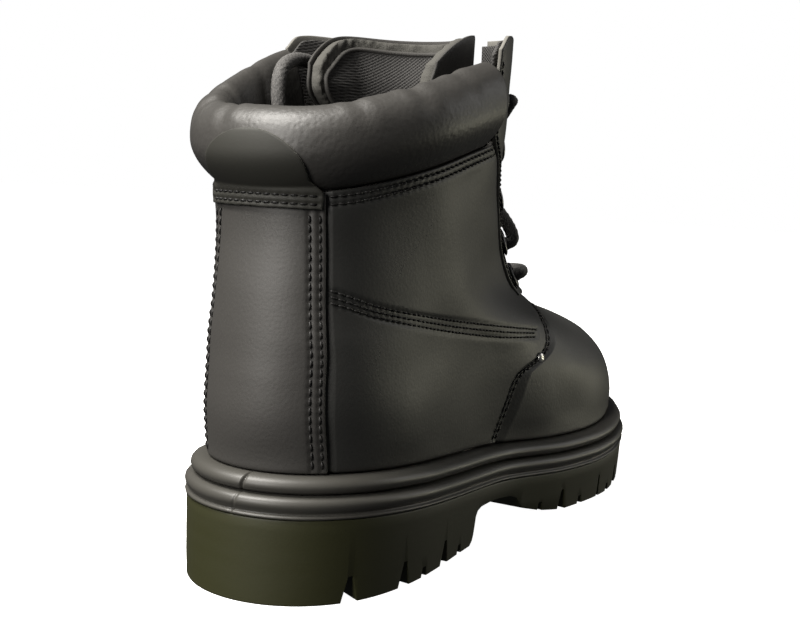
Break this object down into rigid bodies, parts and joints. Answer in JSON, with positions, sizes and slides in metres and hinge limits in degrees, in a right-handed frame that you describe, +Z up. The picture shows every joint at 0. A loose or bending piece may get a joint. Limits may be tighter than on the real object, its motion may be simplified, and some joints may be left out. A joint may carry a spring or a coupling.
{
  "type": "steel toe work boot",
  "caption": "Right ankle-high lace-up safety boot with a padded collar, a steel toe cap, a padded tongue and a lugged heeled sole.",
  "frame": {"origin": "on the ground under the middle of the heel", "axes": "+X to the toe, +Y to the inner side of a right boot, +Z up"},
  "size_m": [0.299, 0.1124, 0.1981],
  "materials": {
    "sole_rubber": "matte moulded rubber, dark olive grey",
    "bead_rubber": "satin moulded rubber, dark grey",
    "upper_leather": "semi-matte coated leather, fine grain, near black",
    "tab_leather": "smooth leather with a bright cut edge",
    "collar_leather": "smooth soft leather over padding",
    "tongue_leather": "soft leather, near black",
    "mesh": "woven spacer mesh, dark grey",
    "foam": "open cell foam, grey",
    "lining": "brushed textile lining, grey",
    "footbed": "textile over foam, dark grey",
    "board": "fibre board",
    "toe_steel": "pressed steel",
    "spring_steel": "spring steel strip",
    "trim_rubber": "soft black rubber",
    "eyelet_metal": "black painted brass",
    "rivet_metal": "bright rivet",
    "lace": "round braided polyester, dark grey",
    "aglet": "black plastic tip"
  },
  "bodies": {
    "boot": {"outsole": "sole_rubber", "midsole": "bead_rubber", "welt": "bead_rubber", "shank": "spring_steel", "insole_board": "board", "vamp": "upper_leather", "quarter_lateral": "upper_leather", "quarter_medial": "upper_leather", "backstay": "upper_leather", "heel_tab": "tab_leather", "eyestay_lateral": "upper_leather", "eyestay_medial": "upper_leather", "eyestay_lining_lateral": "mesh", "eyestay_lining_medial": "mesh", "collar_cover": "collar_leather", "collar_foam": "foam", "vamp_lining": "lining", "quarter_lining": "lining", "toe_cap": "toe_steel", "toe_cap_trim": "trim_rubber", "heel_counter": "board", "eyelets_lateral": "eyelet_metal", "eyelets_medial": "eyelet_metal", "tip_rivet_lateral": "rivet_metal", "tip_rivet_medial": "rivet_metal", "lace": "lace", "lace_end_lateral": "lace", "lace_end_medial": "lace", "aglet_lateral": "aglet", "aglet_medial": "aglet"},
    "tongue": {"tongue_cover": "tongue_leather", "tongue_padding": "mesh"},
    "insole": {"footbed": "footbed"}
  },
  "joints": [
    {"name": "tongue_hinge", "type": "hinge", "parent": "boot", "child": "tongue", "pos_m": [0.157, 0, 0.093], "axis": [0, 1, 0], "range_deg": [-4, 0]},
    {"name": "footbed_lift", "type": "hinge", "parent": "boot", "child": "insole", "pos_m": [0.237, 0, 0.03], "axis": [0, 1, 0], "range_deg": [0, 8]}
  ]
}
